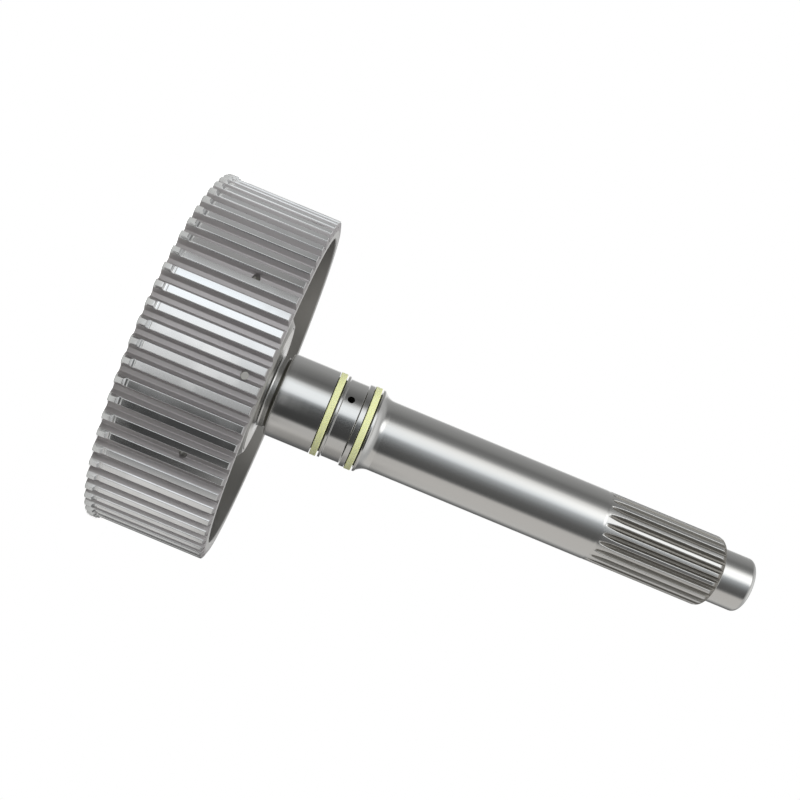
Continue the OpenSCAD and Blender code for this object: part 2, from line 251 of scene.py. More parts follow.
# %% Colour and node helpers
def linear(hex_code):
    """The linear RGBA of an sRGB hex value: c / 12.92 for dark values, otherwise ((c + 0.055) / 1.055) to the power of 2.4."""
    c = np.array([int(hex_code[i : i + 2], 16) for i in (1, 3, 5)]) / 255
    c = np.where(c <= 0.04045, c / 12.92, ((c + 0.055) / 1.055) ** 2.4)
    return (*c.tolist(), 1.0)


def add(tree, kind, settings=None, values=None, links=None):
    """Adds a node of that kind. settings are its properties, where stops fills a colour ramp; values and links go to its input sockets by name or number."""
    node = tree.nodes.new(kind)
    for key, value in (settings or {}).items():
        if key != "stops":
            setattr(node, key, value)
            continue
        elements = node.color_ramp.elements
        while len(elements) < len(value):
            elements.new(0.5)
        for element, (place, color) in zip(elements, value):
            element.position = place
            element.color = color
    for key, value in (values or {}).items():
        node.inputs[key].default_value = value
    for key, output in (links or {}).items():
        tree.links.new(output, node.inputs[key])
    return node


def new_material(name):
    """An empty material with a Principled shader on its output. Returns the material, its tree and the shader."""
    material = bpy.data.materials.new(name)
    material.use_nodes = True
    tree = material.node_tree
    tree.nodes.clear()
    shader = add(tree, "ShaderNodeBsdfPrincipled")
    add(tree, "ShaderNodeOutputMaterial", links={"Surface": shader.outputs["BSDF"]})
    return material, tree, shader


# %% [markdown]
# ## Ground steel
# The shaft is hardened alloy steel, and each stretch of it is finished for its work. The journal is ground with a
# fine wheel, the main shaft with a coarser one, the flange is only turned, and the spline keeps the dull grey
# skin that its cutter and the heat treatment leave. So the roughness is a table against the height. Grinding
# leaves lines round the axis, finer than a tenth of a millimetre; they are too fine to show at this size, so
# they are drawn about 0.7 mm apart and shallow. The eye gets mirror bands along the shaft with the faintest grain.
# Two masks by the distance from the axis add the rest: the ring grooves and the undercut get a dark grey that is
# painted shade, and the spline's valleys are duller from their cut skin and darker from painted shade.

# %% Material: ground and turned steel
# The groove grey is painted shade; the valley grey is partly the cutter's duller skin and partly painted shade.
STEEL_GREY, TURNED_GREY, GROOVE_SHADE_GREY, VALLEY_SKIN_AND_SHADE_GREY = "#C8C8C6", "#A4A29C", "#6E6C64", "#8A8781"
SHAFT_LEN = 269.5
SHAFT_FINISH = [
    (0, 0.34), (49, 0.34), (49.4, 0.24), (53.2, 0.24), (53.8, 0.10), (95.4, 0.10), (97, 0.16),
    (200.2, 0.16), (201.4, 0.28),
    (254.2, 0.3), (254.8, 0.18), (269.5, 0.18),
]


def distance_from_axis(tree, parts):
    """The length of (x, y), which is a point's distance from the Z axis."""
    flat = add(tree, "ShaderNodeCombineXYZ", links={"X": parts.outputs["X"], "Y": parts.outputs["Y"]})
    return add(tree, "ShaderNodeVectorMath", {"operation": "LENGTH"}, links={0: flat.outputs["Vector"]}).outputs["Value"]


def between(tree, value, low, high, soft):
    """A mask that is 1 where the value in metres lies between low and high in millimetres, with soft edges."""
    up = add(
        tree, "ShaderNodeMapRange", {"interpolation_type": "SMOOTHSTEP"},
        {"From Min": (low - soft) * MM, "From Max": (low + soft) * MM}, {"Value": value},
    )
    down = add(
        tree, "ShaderNodeMapRange", {"interpolation_type": "SMOOTHSTEP"},
        {"From Min": (high + soft) * MM, "From Max": (high - soft) * MM}, {"Value": value},
    )
    both = add(
        tree, "ShaderNodeMath", {"operation": "MULTIPLY"}, links={0: up.outputs["Result"], 1: down.outputs["Result"]}
    )
    return both.outputs[0]


def mixed(tree, factor, a, b):
    """The colour a where the factor is 0 and b where it is 1. Either may be a hex value or a socket."""
    values, links = {}, {"Factor": factor}
    for key, color in ((6, a), (7, b)):
        if isinstance(color, str):
            values[key] = linear(color)
        else:
            links[key] = color
    return add(tree, "ShaderNodeMix", {"data_type": "RGBA"}, values, links).outputs[2]


def ground_steel():
    """Ground steel: roughness by height, noise squeezed along Z for lines round the axis, and two masks that paint
    shade into the grooves and, with a duller skin, into the spline's valleys.
    """
    material, tree, shader = new_material("ground_alloy_steel")
    place = add(tree, "ShaderNodeTexCoord").outputs["Object"]
    parts = add(tree, "ShaderNodeSeparateXYZ", links={"Vector": place})
    height, distance = parts.outputs["Z"], distance_from_axis(tree, parts)
    squeezed = add(
        tree, "ShaderNodeMapping", values={"Scale": (20, 20, 1 / (0.7 * MM))}, links={"Vector": place}
    )
    lines = add(
        tree, "ShaderNodeTexNoise",
        values={"Scale": 1.0, "Detail": 3.0, "Roughness": 0.6}, links={"Vector": squeezed.outputs["Vector"]},
    )
    along = add(
        tree, "ShaderNodeMapRange", values={"From Max": SHAFT_LEN * MM}, links={"Value": height}
    )
    stops = [(z / SHAFT_LEN, (r, r, r, 1)) for z, r in SHAFT_FINISH]
    finish = add(tree, "ShaderNodeValToRGB", {"stops": stops}, links={"Fac": along.outputs["Result"]})
    wander = add(
        tree, "ShaderNodeMapRange", values={"To Min": 0.8, "To Max": 1.2}, links={"Value": lines.outputs["Fac"]}
    )
    rough = add(
        tree, "ShaderNodeMath", {"operation": "MULTIPLY"},
        links={0: finish.outputs["Color"], 1: wander.outputs["Result"]},
    )
    # Spline valleys: rougher for the cutter's skin, and a darker grey that is painted shade.
    splined = between(tree, height, 200.7, 254.4, 0.3)
    inside = between(tree, distance, -5, 15.5, 0.12)
    valley = add(tree, "ShaderNodeMath", {"operation": "MULTIPLY"}, links={0: splined, 1: inside})
    # Ring grooves and undercut: a dark grey that is painted shade in the narrow gaps, and a rougher finish.
    low = between(tree, distance, -5, 17.3, 0.15)
    groove_shade_mask = add(
        tree, "ShaderNodeMath", {"operation": "MULTIPLY"}, links={0: between(tree, height, 52.35, 96, 0.1), 1: low}
    )
    color = mixed(tree, between(tree, height, -10, 49.2, 0.1), STEEL_GREY, TURNED_GREY)
    color = mixed(tree, valley.outputs[0], color, VALLEY_SKIN_AND_SHADE_GREY)
    color = mixed(tree, groove_shade_mask.outputs[0], color, GROOVE_SHADE_GREY)
    duller = add(
        tree, "ShaderNodeMath", {"operation": "MAXIMUM"}, links={0: valley.outputs[0], 1: groove_shade_mask.outputs[0]}
    )
    all_rough = add(
        tree, "ShaderNodeMix", {"data_type": "FLOAT"},
        {"B": 0.48}, {"Factor": duller.outputs[0], "A": rough.outputs[0]},
    )
    bump = add(
        tree, "ShaderNodeBump",
        values={"Strength": 0.25, "Distance": 0.002 * MM}, links={"Height": lines.outputs["Fac"]},
    )
    shader.inputs["Metallic"].default_value = 1.0
    tree.links.new(color, shader.inputs["Base Color"])
    tree.links.new(all_rough.outputs[0], shader.inputs["Roughness"])
    tree.links.new(bump.outputs["Normal"], shader.inputs["Normal"])
    return material


shaft_steel = ground_steel()
print("made", shaft_steel.name)

# %% [markdown]
# ## Hobbed and turned steel
# The drum's lands and its collar are turned, so they shine. The valleys between the teeth are cut by a hob,
# which leaves a duller, slightly violet grey, and the inside keeps the dark, smooth skin of its heat treatment
# and a film of oil. The distance from the axis tells the three apart: beyond 77 mm there is only turned land,
# and under 74 mm only the inside.

# %% Material: hobbed and turned steel
LAND_GREY, HOBBED_GREY, INSIDE_GREY = "#CBCCCC", "#B3B0B0", "#ACABA8"
LAND_RADIUS, INSIDE_RADIUS = 77.05, 73.6


def hobbed_steel():
    """Steel in three finishes by the distance from the Z axis: bright lands, dull valleys, and a dark satin inside."""
    material, tree, shader = new_material("hobbed_and_turned_steel")
    place = add(tree, "ShaderNodeTexCoord").outputs["Object"]
    distance = distance_from_axis(tree, add(tree, "ShaderNodeSeparateXYZ", links={"Vector": place}))
    land = between(tree, distance, LAND_RADIUS, 90, 0.25)
    inside = between(tree, distance, -5, INSIDE_RADIUS, 0.25)
    grain = add(
        tree, "ShaderNodeTexNoise",
        values={"Scale": 1 / (0.6 * MM), "Detail": 4.0, "Roughness": 0.65}, links={"Vector": place},
    )
    dull = add(
        tree, "ShaderNodeMapRange", values={"To Min": 0.54, "To Max": 0.68}, links={"Value": grain.outputs["Fac"]}
    )
    film = add(
        tree, "ShaderNodeTexNoise",
        values={"Scale": 1 / (24 * MM), "Detail": 3.0, "Roughness": 0.55}, links={"Vector": place},
    )
    bright = add(
        tree, "ShaderNodeMapRange", {"interpolation_type": "SMOOTHSTEP"},
        {"From Min": 0.46, "From Max": 0.62, "To Min": 0.15, "To Max": 0.26}, {"Value": film.outputs["Fac"]},
    )
    outer = add(
        tree, "ShaderNodeMix", {"data_type": "FLOAT"},
        links={"Factor": land, "A": dull.outputs["Result"], "B": bright.outputs["Result"]},
    )
    rough = add(
        tree, "ShaderNodeMix", {"data_type": "FLOAT"}, {"B": 0.4}, {"Factor": inside, "A": outer.outputs[0]}
    )
    color = mixed(tree, land, HOBBED_GREY, LAND_GREY)
    color = mixed(tree, inside, color, INSIDE_GREY)
    bump = add(
        tree, "ShaderNodeBump",
        values={"Strength": 0.15, "Distance": 0.01 * MM}, links={"Height": grain.outputs["Fac"]},
    )
    shader.inputs["Metallic"].default_value = 1.0
    tree.links.new(color, shader.inputs["Base Color"])
    tree.links.new(rough.outputs[0], shader.inputs["Roughness"])
    tree.links.new(bump.outputs["Normal"], shader.inputs["Normal"])
    return material


hub_steel = hobbed_steel()
print("made", hub_steel.name)

# %% [markdown]
# ## Sealing ring polymer
# The rings are moulded from a filled fluoropolymer, pale yellow-green and waxy. Light enters a little way, so
# its edges look soft, and its skin has a low broad sheen. A cloudy variation a few millimetres across keeps it
# from looking painted.

# %% Material: moulded polymer
RING_YELLOW = "#D6D9A7"
RING_SHADE = "#CBCE97"


def moulded_polymer():
    """Waxy plastic: cloudy noise mixes two close yellows and a little roughness."""
    material, tree, shader = new_material("moulded_fluoropolymer")
    place = add(tree, "ShaderNodeTexCoord").outputs["Object"]
    cloud = add(
        tree,
        "ShaderNodeTexNoise",
        values={"Scale": 1 / (3 * MM), "Detail": 3.0},
        links={"Vector": place},
    )
    color = add(
        tree,
        "ShaderNodeMix",
        {"data_type": "RGBA"},
        values={6: linear(RING_SHADE), 7: linear(RING_YELLOW)},
        links={"Factor": cloud.outputs["Fac"]},
    )
    rough = add(
        tree,
        "ShaderNodeMapRange",
        values={"To Min": 0.42, "To Max": 0.55},
        links={"Value": cloud.outputs["Fac"]},
    )
    shader.inputs["Subsurface Weight"].default_value = 0.15
    shader.inputs["Subsurface Radius"].default_value = (1.0, 0.9, 0.4)
    shader.inputs["Subsurface Scale"].default_value = 0.4 * MM
    tree.links.new(color.outputs[2], shader.inputs["Base Color"])
    tree.links.new(rough.outputs["Result"], shader.inputs["Roughness"])
    return material


ring_polymer = moulded_polymer()
print("made", ring_polymer.name)

# %% [markdown]
# ## Bronze and zinc
# Two small pieces hide in the rear end: a bronze bushing, bored and warm brown, and a drawn steel cup with a
# zinc coat. Their shapes are plain turned ones, so the CAD solids stay and only get their finish.


# %% Materials: bored bronze and zinc-plated steel
def plain_metal(name, hex_code, low, high, spacing_mm):
    """Metal of one colour, whose roughness runs from low to high over noise with that spacing along Z."""
    material, tree, shader = new_material(name)
    place = add(tree, "ShaderNodeTexCoord").outputs["Object"]
    squeezed = add(
        tree,
        "ShaderNodeMapping",
        values={"Scale": (60, 60, 1 / (spacing_mm * MM))},
        links={"Vector": place},
    )
    lines = add(
        tree,
        "ShaderNodeTexNoise",
        values={"Scale": 1.0, "Detail": 3.0},
        links={"Vector": squeezed.outputs["Vector"]},
    )
    rough = add(
        tree,
        "ShaderNodeMapRange",
        values={"To Min": low, "To Max": high},
        links={"Value": lines.outputs["Fac"]},
    )
    bump = add(
        tree,
        "ShaderNodeBump",
        values={"Strength": 0.3, "Distance": 0.004 * MM},
        links={"Height": lines.outputs["Fac"]},
    )
    shader.inputs["Base Color"].default_value = linear(hex_code)
    shader.inputs["Metallic"].default_value = 1.0
    tree.links.new(rough.outputs["Result"], shader.inputs["Roughness"])
    tree.links.new(bump.outputs["Normal"], shader.inputs["Normal"])
    return material


bushing_bronze = plain_metal("bored_bronze", "#BC8F5E", 0.22, 0.36, 0.5)
plug_zinc = plain_metal("zinc_plated_steel", "#C3C6CB", 0.3, 0.42, 0.8)
for node, finish in (("rear_bushing", bushing_bronze), ("gallery_plug", plug_zinc)):
    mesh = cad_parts[node].data
    mesh.materials.clear()
    mesh.materials.append(finish)
print("made", bushing_bronze.name, "and", plug_zinc.name)

# %% [markdown]
# ## The drum's teeth
# A hob cuts the valleys, so each tooth has straight flanks, a rounded foot, and softly broken edges along its
# land. The lands are turned: their radius changes along the drum, with a collar at the rear end, a shallow
# relief beside it, and a steep bevel at the front end. So each ring of points is one outline of all the teeth,
# and only the land's radius differs from ring to ring.
# Over a height h, a flank moves sideways by h tan(25 degrees). The outline below is worked out for all rings at
# once, half a tooth at a time, and mirrored.

# %% Drum sizes
HUB_LEN, HUB_R, TOOTH_H, TEETH = 51.0, 77.5, 2.6, 64
LAND_W, FLANK_DEG = 2.95, 25.0
ROOT_R = HUB_R - TOOTH_H
RIM_R = ROOT_R - 4.9
COLLAR_R, COLLAR_LEN = HUB_R + 0.9, 3.2
RELIEF_R, RELIEF_END = HUB_R - 0.2, 5.1
TOOTH_BEVEL = 0.8
FIRST_VALLEY = math.radians(-90 - 1.16)
TOOTH_PITCH = 2 * math.pi / TEETH


def tooth_outline(land_r, edge_round=0.22, foot_round=0.45):
    """Half a tooth for each land radius in an array: from its centre over the land, the rounded edge, the flank and the foot to the valley's centre. Returns radii and angles with one row for each land radius.
    The edge's arc runs from 90 to 25 degrees round a centre that lies its radius under the land, and the foot's arc from 205 to 270 degrees round a centre over the valley."""
    h = np.maximum(land_r - ROOT_R, 0.02)[:, None]
    slope = math.radians(FLANK_DEG)
    turn = math.tan((math.pi / 2 - slope) / 2)
    edge_r = np.minimum(edge_round, 0.3 * h)
    foot_r = np.minimum(foot_round, 0.3 * h)
    top = LAND_W / 2 - (h - TOOTH_H) * math.tan(slope)
    foot = top + h * math.tan(slope)
    a = np.radians(np.linspace(90, FLANK_DEG, 5))
    edge_t = top - edge_r * turn + edge_r * np.cos(a)
    edge_x = h - edge_r + edge_r * np.sin(a)
    b = np.radians(np.linspace(180 + FLANK_DEG, 270, 5))
    foot_t = foot + foot_r * turn + foot_r * np.cos(b)
    foot_x = foot_r + foot_r * np.sin(b)
    land_t = edge_t[:, :1] * np.array([0.0, 0.5, 0.97])
    land_x = h + np.zeros(3)
    mid = np.array([0.04, 0.96])
    flank_t = edge_t[:, -1:] + (foot_t[:, :1] - edge_t[:, -1:]) * mid
    flank_x = edge_x[:, -1:] + (foot_x[:, :1] - edge_x[:, -1:]) * mid
    t = np.concatenate([land_t, edge_t, flank_t, foot_t], axis=1)
    radius = ROOT_R + np.concatenate([land_x, edge_x, flank_x, foot_x], axis=1)
    angle = np.arcsin(t / radius)
    floor = angle[:, -1:] + (TOOTH_PITCH / 2 - angle[:, -1:]) * np.array([0.05, 1.0])
    return (
        np.concatenate([radius, ROOT_R + 0 * floor], axis=1),
        np.concatenate([angle, floor], axis=1),
    )


def tooth_rings(stations):
    """One ring of all teeth for each (land radius, height). The half outline is mirrored about the tooth's centre, and copies turned by the pitch follow one another."""
    land_r, z = np.array(stations).T
    radius, angle = tooth_outline(land_r)
    radius = np.concatenate([radius, radius[:, 1:-1][:, ::-1]], axis=1)
    angle = np.concatenate([angle, TOOTH_PITCH - angle[:, 1:-1][:, ::-1]], axis=1)
    centre = FIRST_VALLEY + TOOTH_PITCH / 2 + np.arange(TEETH) * TOOTH_PITCH
    rings = []
    for r, a, height in zip(radius, angle, z):
        rings.append(ring_points(np.tile(r, TEETH), height, (centre[:, None] + a).ravel()))
    return rings


half_r, half_a = tooth_outline(np.array([HUB_R]))
print(f"valley floor {2 * (TOOTH_PITCH / 2 - half_a[0, -3]) * ROOT_R:.2f} mm wide, {half_r.shape[1]} points per half tooth")

# %% [markdown]
# ## The drum
# Seen in section, the drum is a cup: an outer wall with the teeth, and a dished web that comes up from the wall's
# foot to a narrow flat ring round the shaft's flange, which sits there in a turned seat. Inside it is turned too,
# so its profile is one path from the front rim down the wall, up the web, through the seat and back along the
# rear side. The web's slope follows from its two ends: it leaves the ring's edge and touches the fillet, so its
# angle is asin(fillet radius / distance) minus the angle of the line between the edge and the fillet's centre.

# %% Drum profile
BOSS_R, BOSS_Z, SEAT_R, SEAT_Z, LIP_R = 29.4, 48.6, 28.02, 42.5, 30.7
WEB_T, WEB_FILLET, BACK_FILLET = 5.5, 8.0, 5.0
WEB_FILLET_C = np.array([RIM_R - WEB_FILLET, HUB_LEN - 17.0])


def drum_lining():
    """Corners (radius, height, rounding) of the drum's inner profile, from the front rim round to the rear rim."""
    run = WEB_FILLET_C - (BOSS_R, BOSS_Z)
    slope = math.asin(WEB_FILLET / np.hypot(*run)) - math.atan2(run[1], run[0])
    inward = np.array([math.sin(slope), math.cos(slope)])
    foot = WEB_FILLET_C - WEB_FILLET * inward
    back = foot - WEB_T * inward
    lip_z = back[1] + (back[0] - LIP_R) * math.tan(slope)
    foot_r = RIM_R - BACK_FILLET + BACK_FILLET * math.sin(slope)
    foot_z = back[1] - (foot_r - back[0]) * math.tan(slope)
    back_c = (RIM_R - BACK_FILLET, foot_z - BACK_FILLET * math.cos(slope))
    deg = math.degrees(slope)
    print(f"web slope {deg:.2f} degrees")
    return [
        (RIM_R + 0.4, HUB_LEN),
        (RIM_R, HUB_LEN - 0.4, 0.2),
        *with_rounding(arc(WEB_FILLET_C, WEB_FILLET, 0, -90 - deg, 26)),
        (BOSS_R, BOSS_Z, 0.5),
        (SEAT_R + 0.43, BOSS_Z, 0.15),
        (SEAT_R, BOSS_Z - 0.45),
        (SEAT_R, SEAT_Z),
        (LIP_R, SEAT_Z, 0.2),
        (LIP_R, lip_z, 0.4),
        *with_rounding(arc(back_c, BACK_FILLET, 90 - deg, 0, 18)),
        (RIM_R, 0.4, 0.2),
        (RIM_R + 0.4, 0),
    ]


lining = rounded(drum_lining())
print(len(lining), "points on the drum's inner profile")

# %% [markdown]
# ## Drilled holes
# Oil leaves the drum through small radial holes between the teeth. They are drilled here as in the workshop:
# cylinders are laid where the drill goes, and one Boolean takes them out of the closed surface. The result is
# stored in the mesh itself, so no modifier stays on the piece.


# %% Drilling
def drill(place, direction, length, radius, sides=40):
    """Rings of a cylinder: circle points radius (u cos a + v sin a) at place and at place + length direction, where u and v are at right angles to the direction, and a pole on either end."""
    d = np.array(direction, float) / np.linalg.norm(direction)
    u = np.cross(d, (0, 0, 1) if abs(d[2]) < 0.9 else (1, 0, 0))
    u /= np.linalg.norm(u)
    v = np.cross(d, u)
    a = even_angles(sides)[:, None]
    circle = radius * (u * np.cos(a) + v * np.sin(a))
    start = np.array(place, float)
    end = start + length * d
    return [start[None], start + circle, end + circle, end[None]]


def radial_drill(from_r, length, height, angle, radius):
    """A drill that points away from the Z axis at that angle and height."""
    out = (math.cos(angle), math.sin(angle), 0)
    return drill((from_r * out[0], from_r * out[1], height), out, length, radius)


def drilled(mesh, drills):
    """Takes all drills out of the mesh with one Boolean and returns the new mesh."""
    points, faces, start = [], [], 0
    for rings in drills:
        p, f = joined_rings(rings)
        points.append(p)
        faces += [[i + start for i in face] for face in f]
        start += len(p)
    cutter = bpy.data.objects.new(
        "drills", new_mesh("drills", np.concatenate(points), faces)
    )
    blank = bpy.data.objects.new("blank", mesh)
    for o in (cutter, blank):
        bpy.context.scene.collection.objects.link(o)
    cut = blank.modifiers.new("drilling", "BOOLEAN")
    cut.operation, cut.object, cut.solver = "DIFFERENCE", cutter, "MANIFOLD"
    graph = bpy.context.evaluated_depsgraph_get()
    result = bpy.data.meshes.new_from_object(blank.evaluated_get(graph))
    for o in (cutter, blank):
        bpy.data.objects.remove(o)
    print(f"drilled {len(drills)} holes, {len(mesh.polygons)} faces became {len(result.polygons)}")
    return result


# %% [markdown]
# ## Building the drum
# The teeth need 32 points for each tooth, the lining only 4. The two meet on the flat rims at both ends, where
# faces with more corners do no harm. The holes lie in valleys 5, 5 and 6 apart, alternately in a lower and an
# upper row.

# %% Drum
LINING_COUNT = 4 * TEETH
FRONT_TOOTH = FIRST_VALLEY + TOOTH_PITCH / 2
OIL_R, OIL_TOP_Z, OIL_ROWS = 1.6, HUB_LEN - 7.9, 10.6
OIL_VALLEYS = [16 * g + k - 5 for g in range(4) for k in (0, 5, 10)]

teeth_path = rounded(
    [
        (COLLAR_R - 0.4, 0),
        (COLLAR_R, 0.4, 0.5),
        (COLLAR_R, COLLAR_LEN, 0.3),
        (RELIEF_R, COLLAR_LEN + 0.75, 0.9),
        (RELIEF_R, RELIEF_END - 0.2, 0.3),
        (HUB_R, RELIEF_END, 0.3),
        (HUB_R, HUB_LEN - TOOTH_BEVEL, 0.3),
        (ROOT_R, HUB_LEN),
    ],
    4,
)


def flat_ring(like, radius):
    """The points of a ring moved along their radii to one radius, at their own heights."""
    scale = radius / np.hypot(like[:, 0], like[:, 1])
    return like * np.stack([scale, scale, np.ones_like(scale)], axis=1)


def drum_rings():
    """The teeth from rear to front, then over the front rim, down the lining and back over the rear rim."""
    teeth = tooth_rings(teeth_path)
    angle = FRONT_TOOTH + even_angles(LINING_COUNT)
    inside = [ring_points(r, z, angle) for r, z in lining]
    over_front = flat_ring(teeth[-1], ROOT_R - 0.3)
    over_rear = flat_ring(teeth[0], ROOT_R - 0.3)
    return teeth + [over_front] + inside + [over_rear]


oil_drills = [
    radial_drill(
        RIM_R - 4, 13.5, OIL_TOP_Z - (OIL_ROWS if n % 2 == 0 else 0),
        FIRST_VALLEY + k * TOOTH_PITCH, OIL_R,
    )
    for n, k in enumerate(OIL_VALLEYS)
]
drum_blank = new_mesh("clutch_drum_blank", *joined_rings(drum_rings(), closed=True))
drum_mesh = drilled(drum_blank, oil_drills)
drum = finished(drum_mesh, "clutch_drum", hub_steel, "shaft", ["clutch_hub"], 32)

# %% [markdown]
# ## The shaft
# The shaft is turned from one bar: a stub with the bushing's bore, the flange, a neck, the ground journal with
# two ring grooves and an oil recess between them, a long fillet down to the main shaft, the spline and the
# pilot. Its profile runs from the oil gallery's blind end out through the bore, over the outside and back into
# the lathe centre, so it starts and ends on the axis and the surface is closed.

# %% Shaft profile
SHAFT_R, JOURNAL_R, LAND_R, RECESS_R, GROOVE_R = 15.8, 18.8, 18.7, 17.8, 16.4
REAR_GROOVE, FRONT_GROOVE, GROOVE_W = 74.65, 90.65, 3.9
RECESS_START, RECESS_END, RECESS_SLOPE = 79.55, 88.5, 0.45
FLANGE_R, FLANGE_Z, NECK_R, NECK_FOOT = 28.0, 48.8, 16.0, 49.3
NECK_FILLET, UNDERCUT_R, UNDERCUT_Z, JOURNAL_Z = 1.1, 15.4, 52.3, 53.6
SPLINE_R, SPLINE_DEPTH, SPLINE_TEETH = 15.7, 1.4, 24
SPLINE_START, SPLINE_END, CUTTER_R = 201.0, 251.0, 27.0
SHOULDER_LEN = 3.4
PILOT_R, PILOT_ROUND, TOTAL_LEN = 12.1, 2.6, 269.5
TAPER_R, TAPER_Z = 6.5, FRONT_GROOVE + GROOVE_W + 1.0

taper_len = math.sqrt(TAPER_R**2 - (TAPER_R - (LAND_R - SHAFT_R)) ** 2)
taper_deg = math.degrees(math.asin(taper_len / TAPER_R))
lower_corners = [
    (0, 88),
    (5, 88, 0.3),
    (5, 33.5),
    (6.5, 33.5),
    (6.5, 29),
    (15, 29, 0.3),
    (15, 10.4, 0.2),
    (15.4, 10, 0.2),
    (20.5, 10, 0.3),
    (21.5, 11, 0.3),
    (21.5, 38.5, 1.0),
    (22.5, 39.5, 0.3),
    (30.4, 39.5, 0.4),
    (30.4, 42.5, 0.1),
    (FLANGE_R, 42.5),
    (FLANGE_R, FLANGE_Z - 0.45, 0.1),
    (FLANGE_R - 0.45, FLANGE_Z, 0.3),
    *with_rounding(
        arc((NECK_R + NECK_FILLET, NECK_FOOT + NECK_FILLET), NECK_FILLET, 270, 180, 9)
    ),
    (NECK_R, UNDERCUT_Z, 0.2),
    (UNDERCUT_R, UNDERCUT_Z, 0.15),
    (UNDERCUT_R, JOURNAL_Z, 0.2),
    (JOURNAL_R - 0.4, JOURNAL_Z, 0.1),
    (JOURNAL_R, JOURNAL_Z + 0.4, 0.2),
    (JOURNAL_R, REAR_GROOVE, 0.1),
    (GROOVE_R, REAR_GROOVE, 0.15),
    (GROOVE_R, REAR_GROOVE + GROOVE_W, 0.15),
    (LAND_R, REAR_GROOVE + GROOVE_W, 0.12),
    (LAND_R, RECESS_START, 0.15),
    (RECESS_R, RECESS_START + RECESS_SLOPE, 0.25),
    (RECESS_R, RECESS_END - RECESS_SLOPE, 0.25),
    (LAND_R, RECESS_END, 0.15),
    (LAND_R, FRONT_GROOVE, 0.12),
    (GROOVE_R, FRONT_GROOVE, 0.15),
    (GROOVE_R, FRONT_GROOVE + GROOVE_W, 0.15),
    (LAND_R, FRONT_GROOVE + GROOVE_W, 0.12),
    (LAND_R, TAPER_Z - 0.15, 0.3),
    *with_rounding(
        arc((SHAFT_R + TAPER_R, TAPER_Z + taper_len), TAPER_R, 180 + taper_deg, 180, 24)[1:]
    ),
    (SHAFT_R, SPLINE_START - 1.5, 0.5),
    (SPLINE_R, SPLINE_START - 0.5, 0.5),
    (SPLINE_R, SPLINE_START - 0.3),
]
upper_corners = [
    (PILOT_R + 0.4, SPLINE_END + SHOULDER_LEN, 0.1),
    (PILOT_R, SPLINE_END + SHOULDER_LEN + 0.4, 0.4),
    *with_rounding(
        arc((PILOT_R - PILOT_ROUND, TOTAL_LEN - PILOT_ROUND), PILOT_ROUND, 0, 90, 16)
    ),
    (3.5, TOTAL_LEN, 0.3),
    (1.05, TOTAL_LEN - 4.2, 0.1),
    (1.05, TOTAL_LEN - 7),
    (0, TOTAL_LEN - 7),
]

# %% [markdown]
# ## The spline
# A disc cutter rolls out each valley and lifts off at the lower end, so the valley's floor rises there along
# the cutter's own circle and ends in a pointed tip. At distance d before the full depth the floor stands
# cutter radius - sqrt(cutter radius squared - d squared) over the valley's floor. Across, a valley is flat, then
# a short bevel, then a flank of 30 degrees. The surface is the lower of the shaft's turned radius and the
# valley's, and where they meet the edge is eased over a few hundredths of a millimetre.

# %% Spline rings
FINE_COUNT, PLAIN_COUNT = 24 * SPLINE_TEETH, 6 * SPLINE_TEETH
SPLINE_FLOOR_HALF, SPLINE_FOOT, SPLINE_FLANK = 0.45, 0.15, math.radians(30)
EDGE_EASE = 0.07
FULL_Z = SPLINE_START + math.sqrt(2 * CUTTER_R * SPLINE_DEPTH - SPLINE_DEPTH**2)


def eased_lower(a, b, ease):
    """A soft minimum: -ease log(exp(-a / ease) + exp(-b / ease)), measured from the smaller one so that it can't overflow."""
    low, gap = np.minimum(a, b), np.abs(a - b)
    return low - ease * np.log1p(np.exp(-gap / ease))


def spline_ring(turned_r, z):
    """One ring of the spline: at each angle the lower of the turned radius and the valley's, floor + rise, where rise grows with the distance across from the valley's middle."""
    angle = even_angles(FINE_COUNT)
    pitch = 2 * np.pi / SPLINE_TEETH
    middle = math.radians(-90) + pitch / 2
    off = (angle - middle + pitch / 2) % pitch - pitch / 2
    across = turned_r * np.abs(np.sin(off))
    d = max(FULL_Z - z, 0.0)
    floor = SPLINE_R - SPLINE_DEPTH + CUTTER_R - math.sqrt(CUTTER_R**2 - d * d)
    foot = np.clip(across - SPLINE_FLOOR_HALF, 0, SPLINE_FOOT)
    flank = np.maximum(across - SPLINE_FLOOR_HALF - SPLINE_FOOT, 0) / math.tan(SPLINE_FLANK)
    radius = eased_lower(np.full_like(off, turned_r), floor + foot + flank, EDGE_EASE)
    return ring_points(radius, z, angle)


def spline_path():
    """Turned radius and height of each ring: close together over the run-outs and the shoulder, far apart between. The shoulder is a quarter of an oval, radius + rise cos t and height + length sin t."""
    run_out = np.arange(SPLINE_START - 0.8, FULL_Z + 0.6, 0.15)
    middle = np.linspace(FULL_Z + 1, SPLINE_END - 0.6, 6)
    straight = [(SPLINE_R, z) for z in np.concatenate([run_out, middle])]
    t = np.linspace(0, math.pi / 2, 15)[:-1]
    rise = SPLINE_R - PILOT_R - 0.4
    shoulder = np.stack([SPLINE_R - rise + rise * np.cos(t), SPLINE_END + SHOULDER_LEN * np.sin(t)], axis=1)
    return straight + list(shoulder)


splined = [spline_ring(r, z) for r, z in spline_path()]
print(len(splined), "spline rings of", FINE_COUNT, "points, full depth from", round(FULL_Z, 2), "mm")

# %% [markdown]
# ## Building the shaft
# The plain parts have a quarter of the spline's points. Then the oil holes are drilled: one through the recess
# on either side and two through the stub.

# %% Shaft
RECESS_OIL = math.radians(-90 - 31)


def shaft_rings():
    """Poles at both ends of the profile, plain rings below and above, and the splined rings between them."""
    lower, upper = rounded(lower_corners), rounded(upper_corners)
    below = turned_rings(lower[1:], PLAIN_COUNT)
    above = turned_rings(upper[:-1], PLAIN_COUNT)
    start, end = (np.array([[0, 0, p[1]]]) for p in (lower[0], upper[-1]))
    return [start] + below + splined + above + [end]


